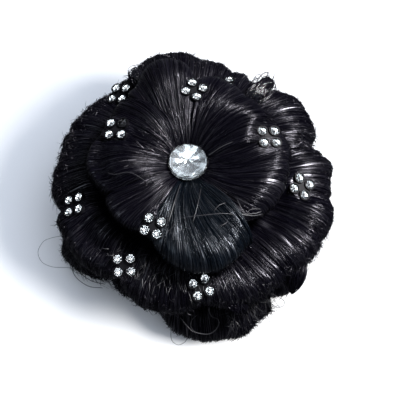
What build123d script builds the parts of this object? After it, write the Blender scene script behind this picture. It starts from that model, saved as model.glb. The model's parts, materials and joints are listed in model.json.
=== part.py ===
from build123d import *
import math
import os

os.makedirs("parts", exist_ok=True)

# Driving sizes, millimetres. The flower is made with its crystal on the Z axis, +Z up.
flower_width = 115.0
hair_wall = 4.0
seam_gap = 0.3
piece_gap = 0.3
root_gap = 0.4
ground_gap = 0.3
cap_diameter = 76.0
cap_wall = 2.0
crystal_diameter = 15.5
crystal_girdle = 0.8
crystal_crown = 3.2
mount_rim = 0.5
mount_inset = 0.4
stone_diameter = 3.4
stone_pitch = 5.0
stone_girdle = 0.5
stone_crown = 0.8
stone_clearance = 0.1
plate_thickness = 1.0
cup_height = 0.9
cup_wall = 0.45
pocket_gap = 0.25
comb_width = 38.0
comb_height = 3.0
comb_spine = 3.0
comb_lift = 1.0
comb_tooth_length = 26.0
comb_tooth_width = 1.6
comb_teeth = 9

flower_radius = flower_width / 2
cap_radius = cap_diameter / 2
crystal_radius = crystal_diameter / 2

# Cross-section of a hair layer, one row per tier: the layer leaves the cap root_deg down from its top,
# climbs at rise_deg, bends over an arc of share crown_share until it falls at fall_deg,
# then rolls in through roll_deg on an arc of share roll_share. Shares are of the flower's radius, to the outside.
tier_columns = ("root_deg", "rise_deg", "crown_share", "fall_deg", "roll_share", "roll_deg")
tier_rows = {
    "inner": (9.5, 33.0, 0.550, -22.0, 0.105, 158.0),
    "middle": (52.0, 40.0, 0.383, -30.0, 0.156, 165.0),
    "outer": (79.0, 12.0, 0.304, -30.0, 0.156, 165.0),
}
tiers = {name: dict(zip(tier_columns, row)) for name, row in tier_rows.items()}

# One row per lobe: the angle where it starts, the rim's radius at that seam, at its middle and at its last seam
# as shares of the flower's radius, and the extra climb of the lobe's middle in degrees.
lobe_columns = ("from_deg", "start_share", "middle_share", "end_share", "lift_deg")
lobe_rows = {
    "inner": (
        (17.5, 0.650, 0.735, 0.680, 2.0),
        (85.5, 0.690, 0.800, 0.740, 4.0),
        (120.0, 0.680, 0.720, 0.640, 1.0),
        (154.5, 0.640, 0.700, 0.620, 0.0),
        (200.0, 0.595, 0.620, 0.580, 0.0),
        (244.5, 0.590, 0.770, 0.725, 3.0),
        (306.0, 0.610, 0.660, 0.650, 1.0),
    ),
    "middle": (
        (18.0, 0.940, 1.045, 0.960, 4.0),
        (55.0, 0.930, 0.965, 0.910, 0.0),
        (70.7, 0.930, 1.050, 0.980, 4.0),
        (112.0, 0.930, 0.950, 0.900, 0.0),
        (126.2, 0.890, 0.970, 0.900, 0.0),
        (195.0, 0.900, 0.935, 0.850, 0.0),
        (236.0, 0.870, 0.945, 0.920, 0.0),
        (276.0, 0.910, 0.955, 0.940, 0.0),
        (315.0, 0.950, 1.015, 0.940, 0.0),
        (354.5, 0.955, 1.020, 0.930, 2.0),
    ),
    "outer": (
        (15.0, 0.900, 0.950, 0.890, 0.0),
        (80.0, 0.890, 0.950, 0.890, 0.0),
        (145.0, 0.890, 0.940, 0.880, 0.0),
        (192.0, 0.900, 0.950, 0.850, 4.0),
        (225.0, 0.820, 0.815, 0.810, 0.0),
        (254.0, 0.850, 1.045, 0.930, 16.0),
        (308.0, 0.910, 0.965, 0.890, 8.0),
        (343.0, 0.890, 0.940, 0.890, 0.0),
    ),
}

# One row per sprig of four stones: the lobe at whose first seam it sits, the outward slope of the hair there,
# the outward lean of its plate and how far its square is turned in its own plane.
sprig_columns = ("seam_of", "slope_deg", "lean_deg", "turn_deg")
sprig_rows = (
    ("inner_1", 20.0, 14.0, -10.0),
    ("inner_2", 11.0, 10.0, -26.0),
    ("inner_4", 17.0, 14.0, 19.0),
    ("inner_6", 21.0, 12.0, 5.0),
    ("middle_3", 8.0, 26.0, 21.0),
    ("middle_5", 23.0, 30.0, 36.0),
    ("middle_6", 20.0, 34.0, -13.0),
    ("middle_7", 19.0, 28.0, 37.0),
    ("middle_8", 19.0, 26.0, 17.0),
    ("middle_10", 9.0, 26.0, -20.0),
)
sprigs = [dict(zip(sprig_columns, row)) for row in sprig_rows]


def along(angle):
    # Unit step in the section's plane
    return (math.cos(math.radians(angle)), math.sin(math.radians(angle)))


def step(point, distance, angle):
    run, climb = along(angle)
    return (point[0] + distance * run, point[1] + distance * climb)


def lobes_of(tier_name):
    # Each lobe knows its own row and the angle where the next one starts
    rows = [dict(zip(lobe_columns, row)) for row in lobe_rows[tier_name]]
    for number, row in enumerate(rows):
        following = rows[(number + 1) % len(rows)]
        row["to_deg"] = following["from_deg"] + (360 if number + 1 == len(rows) else 0)
    return rows


def hook(tier_name, rim_share, lift, base=0.0):
    # Centres, radii and angles of the two tangent arcs, measured on the middle of the wall
    tier = tiers[tier_name]
    half = hair_wall / 2
    rise = tier["rise_deg"] + lift
    fall = tier["fall_deg"]
    lean = abs(math.cos(math.radians(rise + tier["root_deg"])))
    root_radius = cap_radius + root_gap + half * lean
    root_x = root_radius * math.sin(math.radians(tier["root_deg"]))
    root_z = base + root_radius * math.cos(math.radians(tier["root_deg"]))
    crown_outside = tier["crown_share"] * flower_radius
    roll_outside = tier["roll_share"] * flower_radius
    reach = crown_outside * (along(rise)[1] - along(fall)[1]) + roll_outside * (1 + along(fall)[1])
    size = (rim_share * flower_radius - root_x + half * along(rise)[1]) / reach
    crown = size * crown_outside - half
    roll = size * roll_outside - half
    first = step((root_x, root_z), crown, rise - 90)
    bend = step(first, crown, fall + 90)
    second = step(bend, roll, fall - 90)
    return {
        "rise": rise,
        "fall": fall,
        "crown": crown,
        "roll": roll,
        "first": first,
        "second": second,
        "turn": tier["roll_deg"],
    }


def depth_below(shape):
    # Lowest point of a section under the height it was worked out from
    return shape["second"][1] - shape["roll"] - hair_wall / 2


def shares_at(lobe, u):
    # Rim share and lift at a place from -1 at the first seam to 1 at the next
    start = lobe["start_share"]
    middle = lobe["middle_share"]
    end = lobe["end_share"]
    share = middle + (end - start) / 2 * u + ((end + start) / 2 - middle) * u * u
    return share, lobe["lift_deg"] * (1 - u * u)


# The cap stands high enough for the deepest roll to clear the ground
lowest = min(
    depth_below(hook("outer", share, lift))
    for lobe in lobes_of("outer")
    for share, lift in (shares_at(lobe, u) for u in (-1.0, 0.0, 1.0))
)
cap_skirt = ground_gap - lowest
cap_top = cap_skirt + cap_radius


def section_plane(angle, shift):
    # Upright plane through the flower's axis, moved sideways by shift along the growing angle
    run, rise = along(angle)
    return Plane(origin=(-rise * shift, run * shift, 0), x_dir=(run, rise, 0), z_dir=(rise, -run, 0))


def hook_points(shape):
    # Points of the wall's section, outside first, each row from the root to the rolled-in end
    start = shape["rise"] + 90
    middle = shape["fall"] + 90
    end = middle - shape["turn"]
    rows = []
    for side in (hair_wall / 2, -hair_wall / 2):
        row = [step(shape["first"], shape["crown"] + side, angle) for angle in (start, (start + middle) / 2, middle)]
        row += [step(shape["second"], shape["roll"] + side, angle) for angle in ((middle + end) / 2, end)]
        rows.append(row)
    return rows


# Sprigs: where each one sits, the plane of its plate and the pocket that holds it clear of the hair
pocket_width = stone_pitch + stone_diameter + 2 * cup_wall + 2 * pocket_gap
pocket_corner = stone_diameter / 2 + cup_wall
stone_top = stone_clearance + stone_girdle + stone_crown
pocket_height = piece_gap + plate_thickness + max(cup_height, stone_top) + pocket_gap
tier_below = {"inner": "middle", "middle": "outer", "outer": None}

for sprig in sprigs:
    sprig["tier"], number = sprig["seam_of"].split("_")
    sprig["lobe"] = int(number)
    sprig["from_deg"] = lobes_of(sprig["tier"])[sprig["lobe"] - 1]["from_deg"]


def lies_under(sprig, tier_name, lobe):
    # True for a sprig of the next tier down whose pocket may reach under this lobe's rim
    reach = math.degrees(pocket_width / flower_radius)
    past_start = (sprig["from_deg"] - lobe["from_deg"] + reach) % 360
    return sprig["tier"] == tier_below[tier_name] and past_start <= lobe["to_deg"] - lobe["from_deg"] + 2 * reach


def sprig_plane(sprig):
    rows = lobes_of(sprig["tier"])
    lobe = rows[sprig["lobe"] - 1]
    share = max(lobe["start_share"], rows[sprig["lobe"] - 2]["end_share"])
    shape = hook(sprig["tier"], share, 0.0, cap_skirt)
    slope = 90 - sprig["slope_deg"]
    if slope >= shape["fall"] + 90:
        spot = step(shape["first"], shape["crown"] + hair_wall / 2, slope)
    else:
        spot = step(shape["second"], shape["roll"] + hair_wall / 2, slope)
    run, rise = along(lobe["from_deg"])
    across, up = along(90 - sprig["lean_deg"])
    facing = Plane(
        origin=(spot[0] * run, spot[0] * rise, spot[1]),
        x_dir=(-rise, run, 0),
        z_dir=(across * run, across * rise, up),
    )
    return facing.rotated((0, 0, sprig["turn_deg"]))


sprig_planes = [sprig_plane(sprig) for sprig in sprigs]

pieces = {}

# Hair layers, each lobe a hollow rolled shell lofted through five sections
for tier_name in tiers:
    count = len(lobe_rows[tier_name])
    for number, lobe in enumerate(lobes_of(tier_name), 1):
        span = lobe["to_deg"] - lobe["from_deg"]
        pockets = []
        for plane, sprig in zip(sprig_planes, sprigs):
            if sprig["tier"] == tier_name and sprig["lobe"] in (number, number % count + 1):
                pockets.append((plane, 3 * hair_wall))
            elif lies_under(sprig, tier_name, lobe):
                pockets.append((plane, pocket_height))
        with BuildPart() as petal:
            for u in (-1.0, -0.5, 0.0, 0.5, 1.0):
                share, lift = shares_at(lobe, u)
                angle = lobe["from_deg"] + span * (u + 1) / 2
                outside, inside = hook_points(hook(tier_name, share, lift, cap_skirt))
                with BuildSketch(section_plane(angle, -u * seam_gap / 2 if abs(u) == 1 else 0)):
                    with BuildLine():
                        ThreePointArc(outside[0], outside[1], outside[2])
                        ThreePointArc(outside[2], outside[3], outside[4])
                        Line(outside[4], inside[4])
                        ThreePointArc(inside[4], inside[3], inside[2])
                        ThreePointArc(inside[2], inside[1], inside[0])
                        Line(inside[0], outside[0])
                    make_face()
            loft()
            for plane, height in pockets:
                with BuildSketch(plane):
                    RectangleRounded(pocket_width, pocket_width, pocket_corner)
                extrude(amount=height, mode=Mode.SUBTRACT)
        pieces[f"petal_{tier_name}_{number}"] = petal.part

# Net cap that the layers are sewn to, hollow for the wearer's own bun
with BuildPart() as net_cap:
    with BuildSketch(Plane.XZ):
        with BuildLine():
            Line((cap_radius - cap_wall, 0), (cap_radius, 0))
            Line((cap_radius, 0), (cap_radius, cap_skirt))
            ThreePointArc(
                (cap_radius, cap_skirt),
                (cap_radius * along(45)[0], cap_skirt + cap_radius * along(45)[1]),
                (0, cap_top),
            )
            Line((0, cap_top), (0, cap_top - cap_wall))
            ThreePointArc(
                (0, cap_top - cap_wall),
                ((cap_radius - cap_wall) * along(45)[0], cap_skirt + (cap_radius - cap_wall) * along(45)[1]),
                (cap_radius - cap_wall, cap_skirt),
            )
            Line((cap_radius - cap_wall, cap_skirt), (cap_radius - cap_wall, 0))
        make_face()
    revolve(axis=Axis.Z)
pieces["net_cap"] = net_cap.part

# Hidden comb under the front of the cap, one plain piece
comb_outside = cap_radius - cap_wall - piece_gap
comb_inside = comb_outside - comb_spine
comb_half_angle = math.degrees(math.asin(comb_width / 2 / comb_outside))
tooth_spacing = 2 * comb_inside * along(comb_half_angle)[1] / (comb_teeth + 0.6)
tooth_end = comb_tooth_length - comb_outside
with BuildPart() as comb:
    with BuildSketch(Plane.XY.offset(comb_lift)):
        with BuildLine():
            CenterArc((0, 0), comb_outside, -90 - comb_half_angle, 2 * comb_half_angle)
            Line(step((0, 0), comb_outside, -90 + comb_half_angle), step((0, 0), comb_inside, -90 + comb_half_angle))
            CenterArc((0, 0), comb_inside, -90 + comb_half_angle, -2 * comb_half_angle)
            Line(step((0, 0), comb_inside, -90 - comb_half_angle), step((0, 0), comb_outside, -90 - comb_half_angle))
        make_face()
    extrude(amount=comb_height)
    for tooth in range(comb_teeth):
        tooth_x = (tooth - (comb_teeth - 1) / 2) * tooth_spacing
        tooth_root = -math.sqrt(comb_inside ** 2 - tooth_x ** 2) - comb_spine / 2
        with BuildSketch(Plane.XY.offset(comb_lift + comb_height / 4)):
            with Locations((tooth_x, (tooth_root + tooth_end) / 2)):
                SlotOverall(tooth_end - tooth_root + comb_tooth_width, comb_tooth_width, rotation=90)
        extrude(amount=comb_height / 2)
pieces["comb"] = comb.part

# Crystal and the cup it is glued on, standing on the top of the cap between the roots of the inner lobes
inner_tier = tiers["inner"]
inner_rise = inner_tier["rise_deg"] + max(lobe["lift_deg"] for lobe in lobes_of("inner"))
root_distance = cap_radius + piece_gap + hair_wall / 2
root_run, root_climb = along(90 - inner_tier["root_deg"])
wall_climb, wall_run = along(inner_tier["rise_deg"])
corner_x = root_distance * root_run - hair_wall / 2 * wall_run
corner_z = cap_skirt + root_distance * root_climb + hair_wall / 2 * wall_climb
mount_stem = 0.62 * corner_x
mount_radius = crystal_radius - mount_inset
cone_slope = math.tan(math.radians(inner_rise))
cone_start = corner_z + (mount_stem - corner_x) * cone_slope + 1.4 * piece_gap
cone_end = cone_start + (mount_radius - mount_stem) * cone_slope
mount_top = cone_end + mount_rim
with BuildPart() as crystal_mount:
    with BuildSketch(Plane.XZ):
        with BuildLine():
            Polyline(
                (0, cap_top + piece_gap),
                (mount_stem, cap_top + piece_gap),
                (mount_stem, cone_start),
                (mount_radius, cone_end),
                (mount_radius, mount_top),
                (0, mount_top),
                close=True,
            )
        make_face()
    revolve(axis=Axis.Z)
pieces["crystal_mount"] = crystal_mount.part

# Round cut crystal with a table, sixteen long crown facets and sixteen short ones at the girdle
crystal_bottom = mount_top + piece_gap
crystal_sides = 16
table_share = 0.34
stone_table_share = 0.55
stone_taper = math.degrees(math.atan((1 - stone_table_share) * stone_diameter / 2 / stone_crown))
crown_taper = math.degrees(math.atan((1 - table_share) * crystal_radius / crystal_crown))
with BuildPart() as crystal:
    with BuildSketch(Plane.XY.offset(crystal_bottom)):
        RegularPolygon(crystal_radius, 2 * crystal_sides, major_radius=False)
    extrude(amount=crystal_girdle)
    with BuildSketch(Plane.XY.offset(crystal_bottom + crystal_girdle)):
        RegularPolygon(crystal_radius, crystal_sides, major_radius=False)
    extrude(amount=crystal_crown, taper=crown_taper)
    with BuildSketch(Plane.XY.offset(crystal_bottom)):
        RegularPolygon(1.01 * crystal_radius, crystal_sides, major_radius=False, rotation=180 / crystal_sides)
    extrude(amount=crystal_girdle + crystal_crown, taper=0.66 * crown_taper, mode=Mode.INTERSECT)
pieces["crystal"] = crystal.part

# Sprigs: four cups joined by a small cross, and the four cut stones standing loose in them
cup_radius = stone_diameter / 2 + cup_wall
bar_length = stone_pitch * math.sqrt(2)
bar_width = 0.45 * stone_pitch
for number, plane in enumerate(sprig_planes, 1):
    seat = plane.offset(piece_gap)
    with BuildPart() as plate:
        with BuildSketch(seat):
            Rectangle(bar_length, bar_width, rotation=45)
            Rectangle(bar_length, bar_width, rotation=-45)
            Circle(0.9 * bar_width)
        extrude(amount=plate_thickness)
        with BuildSketch(seat):
            with GridLocations(stone_pitch, stone_pitch, 2, 2):
                Circle(cup_radius)
        extrude(amount=plate_thickness + cup_height)
        with BuildSketch(seat.offset(plate_thickness)):
            with GridLocations(stone_pitch, stone_pitch, 2, 2):
                Circle(stone_diameter / 2 + stone_clearance)
        extrude(amount=2 * cup_height, mode=Mode.SUBTRACT)
    pieces[f"sprig_plate_{number:02d}"] = plate.part
    stone_base = seat.offset(plate_thickness + stone_clearance)
    with BuildPart() as stones:
        with BuildSketch(stone_base):
            with GridLocations(stone_pitch, stone_pitch, 2, 2):
                RegularPolygon(stone_diameter / 2, 16)
        extrude(amount=stone_girdle)
        with BuildSketch(stone_base.offset(stone_girdle)):
            with GridLocations(stone_pitch, stone_pitch, 2, 2):
                RegularPolygon(stone_diameter / 2, 8)
        extrude(amount=stone_crown, taper=stone_taper)
    pieces[f"sprig_stones_{number:02d}"] = stones.part

# The ground's centre under the whole object becomes the frame's origin
whole = Compound(children=[Part(piece.wrapped) for piece in pieces.values()]).bounding_box()
home = Location((-(whole.min.X + whole.max.X) / 2, -(whole.min.Y + whole.max.Y) / 2, 0))
for name, piece in pieces.items():
    placed = home * piece
    placed.label = name
    export_step(placed, f"parts/{name}.step")
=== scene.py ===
import json
import math

import bpy
import numpy as np
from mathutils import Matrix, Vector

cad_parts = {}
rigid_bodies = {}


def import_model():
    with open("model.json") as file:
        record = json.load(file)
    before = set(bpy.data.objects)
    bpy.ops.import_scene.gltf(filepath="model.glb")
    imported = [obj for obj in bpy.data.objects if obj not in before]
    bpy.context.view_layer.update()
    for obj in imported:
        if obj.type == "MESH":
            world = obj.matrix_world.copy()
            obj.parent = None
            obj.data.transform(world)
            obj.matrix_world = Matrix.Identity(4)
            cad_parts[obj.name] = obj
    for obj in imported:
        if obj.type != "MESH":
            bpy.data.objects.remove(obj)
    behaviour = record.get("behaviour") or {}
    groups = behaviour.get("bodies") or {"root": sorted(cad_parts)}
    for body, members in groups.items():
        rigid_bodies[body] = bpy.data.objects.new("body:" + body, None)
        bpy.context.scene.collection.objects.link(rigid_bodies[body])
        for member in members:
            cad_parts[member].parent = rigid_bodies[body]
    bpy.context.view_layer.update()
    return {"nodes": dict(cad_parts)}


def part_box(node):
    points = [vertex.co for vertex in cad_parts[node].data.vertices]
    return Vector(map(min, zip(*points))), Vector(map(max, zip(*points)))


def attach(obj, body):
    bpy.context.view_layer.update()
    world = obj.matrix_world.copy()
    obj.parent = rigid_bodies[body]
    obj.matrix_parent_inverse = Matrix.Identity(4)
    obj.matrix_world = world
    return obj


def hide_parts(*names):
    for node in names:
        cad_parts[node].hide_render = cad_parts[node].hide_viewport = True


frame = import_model()

# Everything below is in millimetres about the crystal's axis and turned into metres at the end
MM = 0.001
crystal_low, crystal_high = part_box("crystal")
AXIS = np.array([(crystal_low[0] + crystal_high[0]) / 2, (crystal_low[1] + crystal_high[1]) / 2, 0.0])

# Camera: the crystal lands on its place in the photograph
ELEVATION = 66.0
DISTANCE = 0.6
METRES_PER_PX = 0.0004035
FOCAL_PX = DISTANCE / METRES_PER_PX
CRYSTAL_PX = (188.0, 159.5)
CRYSTAL_DEPTH = 2.0
IMAGE_PX = 400
AIM_ROUNDS = 30

# The hair's form, the same sizes and tables as the solids
WALL = 4.0
PIECE_GAP = 0.3
ROOT_EXTRA = 0.1
GROUND_GAP = 0.3
RADIUS = 57.5
CAP_RADIUS = 38.0
PAST_SEAM = 1.1
TIERS = {
    "inner": dict(root=9.5, rise=33.0, crown=0.550, fall=-22.0, roll=0.105, turn=158.0),
    "middle": dict(root=52.0, rise=40.0, crown=0.383, fall=-30.0, roll=0.156, turn=165.0),
    "outer": dict(root=79.0, rise=12.0, crown=0.304, fall=-30.0, roll=0.156, turn=165.0),
}
# First angle, rim shares at the first seam, the middle and the last seam, extra climb of the middle
LOBES = {
    "inner": (
        (17.5, 0.65, 0.735, 0.68, 2.0),
        (85.5, 0.69, 0.8, 0.74, 4.0),
        (120.0, 0.68, 0.72, 0.64, 1.0),
        (154.5, 0.64, 0.7, 0.62, 0.0),
        (200.0, 0.595, 0.62, 0.58, 0.0),
        (244.5, 0.59, 0.77, 0.725, 3.0),
        (306.0, 0.61, 0.66, 0.65, 1.0),
    ),
    "middle": (
        (18.0, 0.94, 1.045, 0.96, 4.0),
        (55.0, 0.93, 0.965, 0.91, 0.0),
        (70.7, 0.93, 1.05, 0.98, 4.0),
        (112.0, 0.93, 0.95, 0.9, 0.0),
        (126.2, 0.89, 0.97, 0.9, 0.0),
        (195.0, 0.9, 0.935, 0.85, 0.0),
        (236.0, 0.87, 0.945, 0.92, 0.0),
        (276.0, 0.91, 0.955, 0.94, 0.0),
        (315.0, 0.95, 1.015, 0.94, 0.0),
        (354.5, 0.955, 1.02, 0.93, 2.0),
    ),
    "outer": (
        (15.0, 0.9, 0.95, 0.89, 0.0),
        (80.0, 0.89, 0.95, 0.89, 0.0),
        (145.0, 0.89, 0.94, 0.88, 0.0),
        (192.0, 0.9, 0.95, 0.85, 4.0),
        (225.0, 0.82, 0.815, 0.81, 0.0),
        (254.0, 0.85, 1.045, 0.93, 16.0),
        (308.0, 0.91, 0.965, 0.89, 8.0),
        (343.0, 0.89, 0.94, 0.89, 0.0),
    ),
}


def cosd(angle):
    return np.cos(np.radians(angle))


def sind(angle):
    return np.sin(np.radians(angle))


def section(tier, share, lift, base):
    # Centres and radii of the two arcs of a layer's section, on the middle of its wall
    row = TIERS[tier]
    half = WALL / 2
    rise = row["rise"] + lift
    fall = row["fall"]
    root = CAP_RADIUS + PIECE_GAP + half * np.abs(cosd(rise + row["root"])) + ROOT_EXTRA
    root_x = root * sind(row["root"])
    root_z = base + root * cosd(row["root"])
    crown_out = row["crown"] * RADIUS
    roll_out = row["roll"] * RADIUS
    reach = crown_out * (sind(rise) - sind(fall)) + roll_out * (1 + sind(fall))
    size = (share * RADIUS - root_x + half * sind(rise)) / reach
    crown = size * crown_out - half
    roll = size * roll_out - half
    first = (root_x + crown * sind(rise), root_z - crown * cosd(rise))
    bend = (first[0] - crown * sind(fall), first[1] + crown * cosd(fall))
    second = (bend[0] + roll * sind(fall), bend[1] - roll * cosd(fall))
    return rise, fall, crown, roll, first, second, row["turn"]


def lobe_at(lobe, u):
    # Rim share and extra climb at u across the lobe, from -1 to 1
    _, start, middle, end, lift = lobe["row"]
    share = middle + (end - start) / 2 * u + ((end + start) / 2 - middle) * u * u
    return share, lift * (1 - u * u)


def place(lobe, u, t, off=0.0, drawn=0.0):
    # Point, outward normal and fibre direction at u across and t along, off outwards and drawn in
    share, lift = lobe_at(lobe, np.clip(u, -PAST_SEAM, PAST_SEAM))
    share = share - drawn
    rise, fall, crown, roll, first, second, turn = section(lobe["tier"], share, lift, BASE)
    half = WALL / 2
    crown_run = (crown + half) * np.radians(rise - fall)
    roll_run = (roll + half) * math.radians(turn)
    run = t * (crown_run + roll_run)
    on_crown = run < crown_run
    angle = np.where(
        on_crown,
        rise + 90 - np.degrees(run / (crown + half)),
        fall + 90 - np.degrees((run - crown_run) / (roll + half)),
    )
    centre_x = np.where(on_crown, first[0], second[0])
    centre_z = np.where(on_crown, first[1], second[1])
    radius = np.where(on_crown, crown, roll) + half + off
    x = centre_x + radius * cosd(angle)
    z = centre_z + radius * sind(angle)
    azimuth = lobe["row"][0] + lobe["span"] * (u + 1) / 2
    east, north = cosd(azimuth), sind(azimuth)
    point = np.stack([x * east, x * north, z], -1)
    normal = np.stack([cosd(angle) * east, cosd(angle) * north, sind(angle)], -1)
    fibre = np.stack([sind(angle) * east, sind(angle) * north, -cosd(angle)], -1)
    return point, normal, fibre


def lowest_roll():
    # How far the outer tier's rolls reach down from the cap's foot
    lows = []
    for start, first_share, middle, end, lift in LOBES["outer"]:
        for share, climb in ((first_share, 0.0), (middle, lift), (end, 0.0)):
            _, _, _, roll, _, second, _ = section("outer", share, climb, 0.0)
            lows.append(second[1] - roll - WALL / 2)
    return min(lows)


BASE = GROUND_GAP - lowest_roll()

lobes = {}
for tier_name, rows in LOBES.items():
    for index, row in enumerate(rows):
        following = rows[(index + 1) % len(rows)][0] + (360 if index + 1 == len(rows) else 0)
        lobes[f"{tier_name}_{index + 1}"] = dict(tier=tier_name, row=row, span=following - row[0])


def to_metres(points):
    return np.asarray(points) * MM + AXIS


def smooth(x, low, high):
    # Soft step from 0 at low to 1 at high
    s = np.clip((x - low) / (high - low), 0, 1)
    return s * s * (3 - 2 * s)


def value_noise(rng, cells_a, cells_b):
    # Smooth random field on the unit square, from -1 to 1
    grid = rng.uniform(-1, 1, (cells_a + 2, cells_b + 2))

    def cell(place, cells):
        place = np.clip(place, 0, 1) * cells
        index = np.minimum(place.astype(int), cells - 1)
        share = place - index
        return index, share * share * (3 - 2 * share)

    def sample(a, b):
        i, fa = cell(a, cells_a)
        j, fb = cell(b, cells_b)
        low = grid[i, j] * (1 - fa) + grid[i + 1, j] * fa
        high = grid[i, j + 1] * (1 - fa) + grid[i + 1, j + 1] * fa
        return low * (1 - fb) + high * fb

    return sample


# Materials

# How far a lock and a single hair lean the surface's direction
LOCK_LEAN = 0.11
HAIR_LEAN = 0.06
# Streaks in the hair: cells per metre across and along it, and detail
FINE_STREAKS = (2200.0, 20.0, 2.0)
LOCK_STREAKS = (1250.0, 12.0, 1.0)
BROAD_STREAKS = (420.0, 20.0, 2.0)
HAIR_BUMP = 0.0002
GRAIN_BUMP = 0.0001


def feed(node, **values):
    # Sets a node's inputs, or links them where the value is a socket; _ stands for a space
    for name, value in values.items():
        entry = node.inputs[name.replace("_", " ")]
        if isinstance(value, bpy.types.NodeSocket):
            node.id_data.links.new(value, entry)
        else:
            entry.default_value = value


def add_node(tree, kind, *sockets, operation=None, **values):
    # First output of a new shader node, with sockets led into its first inputs
    node = tree.nodes.new("ShaderNode" + kind)
    if operation:
        node.operation = operation
    for k, socket in enumerate(sockets):
        tree.links.new(socket, node.inputs[k])
    feed(node, **values)
    return node.outputs[0]


def new_material(name):
    material = bpy.data.materials.new(name)
    material.use_nodes = True
    tree = material.node_tree
    return material, tree, tree.nodes["Principled BSDF"]


def streaks(tree, uv, across, along, detail):
    # Noise drawn out along the hair
    stretch = add_node(tree, "Mapping", uv, Scale=(across, along, 1.0))
    return add_node(tree, "TexNoise", stretch, Scale=1.0, Detail=detail)


def ranged(tree, noise, low, high, to_low, to_high):
    return add_node(tree, "MapRange", noise, From_Min=low, From_Max=high, To_Min=to_low, To_Max=to_high)


def two_colours(tree, noise, dark, light, places):
    colour = add_node(tree, "ValToRGB", noise)
    for element, place, rgb in zip(colour.node.color_ramp.elements, places, (dark, light)):
        element.position = place
        element.color = (*rgb, 1)
    return colour


def hair_material(name, dark, light, gloss_tint, gloss):
    material, tree, shader = new_material(name)
    uv = add_node(tree, "UVMap")
    uv.node.uv_map = "strand"
    fine, locks, broad = (streaks(tree, uv, *row) for row in (FINE_STREAKS, LOCK_STREAKS, BROAD_STREAKS))
    fine_gloss = ranged(tree, fine, 0.42, 0.62, 0.04 * gloss, 1.5 * gloss)
    broad_gloss = ranged(tree, broad, 0.36, 0.62, 0.25, 1.4)
    # Each lock and each hair leans a little along its length, which breaks the gloss up into streaks
    tangent = add_node(tree, "Tangent")
    tangent.node.direction_type = "UV_MAP"
    tangent.node.uv_map = "strand"
    surface = add_node(tree, "NewGeometry").node.outputs["Normal"]
    along = add_node(tree, "VectorMath", surface, tangent, operation="CROSS_PRODUCT")
    lock_lean = ranged(tree, locks, 0.3, 0.7, -LOCK_LEAN, LOCK_LEAN)
    hair_lean = ranged(tree, fine, 0.3, 0.7, -HAIR_LEAN, HAIR_LEAN)
    lean = add_node(tree, "Math", lock_lean, hair_lean, operation="ADD")
    leaned = add_node(tree, "VectorMath", along, operation="SCALE", Scale=lean)
    bump = add_node(tree, "Bump", Strength=0.35, Distance=HAIR_BUMP, Height=locks)
    summed = add_node(tree, "VectorMath", bump, leaned, operation="ADD")
    feed(
        shader,
        Base_Color=two_colours(tree, fine, dark, light, (0.35, 0.7)),
        Roughness=ranged(tree, broad, 0.3, 0.7, 0.22, 0.32),
        Specular_IOR_Level=add_node(tree, "Math", fine_gloss, broad_gloss, operation="MULTIPLY"),
        Normal=add_node(tree, "VectorMath", summed, operation="NORMALIZE"),
        Tangent=tangent,
        Anisotropic=0.6,
        Anisotropic_Rotation=0.25,
        IOR=1.5,
        Specular_Tint=(*gloss_tint, 1),
    )
    return material


def noisy_material(name, colour, roughness, cells=900.0, bump=0.2, **values):
    material, tree, shader = new_material(name)
    coords = add_node(tree, "TexCoord").node.outputs["Object"]
    noise = add_node(tree, "TexNoise", coords, Scale=cells, Detail=3.0)
    dark, light = [c * 0.85 for c in colour], [min(1.0, c * 1.15) for c in colour]
    feed(
        shader,
        Base_Color=two_colours(tree, noise, dark, light, (0.0, 1.0)),
        Normal=add_node(tree, "Bump", Strength=bump, Distance=GRAIN_BUMP, Height=noise),
        Roughness=roughness,
        **values,
    )
    return material


hair = hair_material(
    "black_hair",
    dark=(0.0007, 0.0006, 0.0016),
    light=(0.0022, 0.0020, 0.0040),
    gloss_tint=(0.92, 0.90, 1.0),
    gloss=0.55,
)
# Copy of the hair for lobe inner_6: its bluer colour and gloss tint are painted sheen, a bluish reflection
painted_blue_sheen_hair = hair_material(
    "black_hair_painted_blue_sheen",
    dark=(0.0004, 0.0010, 0.0022),
    light=(0.0014, 0.0028, 0.0048),
    gloss_tint=(0.84, 0.90, 1.0),
    gloss=0.75,
)
# Loose hairs: real gloss, and a base colour ten times lighter than the lobes' hair, which is painted sheen
# for glinting hairs
sheen_painted_stray_hair = noisy_material("loose_black_hair_painted_sheen", (0.020, 0.020, 0.023), 0.38, Specular_IOR_Level=0.7)
looped_hair = noisy_material("looped_black_hair", (0.003, 0.003, 0.005), 0.14, Specular_IOR_Level=0.9)
# Painted shade: dark hair without gloss, put on lock cores where the hair lies in shadow
painted_shade_hair = noisy_material("black_hair_painted_shade", (0.002, 0.002, 0.003), 0.9, Specular_IOR_Level=0.0)
black_plastic = noisy_material("black_plastic", (0.003, 0.003, 0.004), 0.45, Specular_IOR_Level=0.10)
net = noisy_material("black_net", (0.006, 0.006, 0.008), 0.7, cells=1500.0, bump=0.8)
foil = noisy_material("silver_foil", (0.84, 0.88, 0.92), 0.12, cells=1200.0, bump=0.25, Metallic=1.0)
# Painted reflection: the dark spot in the middle of each foil stands for a dark reflection
painted_dark_reflection = noisy_material("foil_tip_painted_dark_reflection", (0.02, 0.02, 0.025), 0.4)
GLASS = dict(cells=100.0, bump=0.0, Transmission_Weight=1.0, IOR=1.5)
glass = noisy_material("cut_glass", (0.87, 0.87, 0.87), 0.02, **GLASS)
soft_glass = noisy_material("worn_cut_glass", (0.84, 0.87, 0.90), 0.17, **GLASS)

# Meshes

def put(name, data):
    placed = bpy.data.objects.new(name, data)
    bpy.context.collection.objects.link(placed)
    return placed


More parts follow.
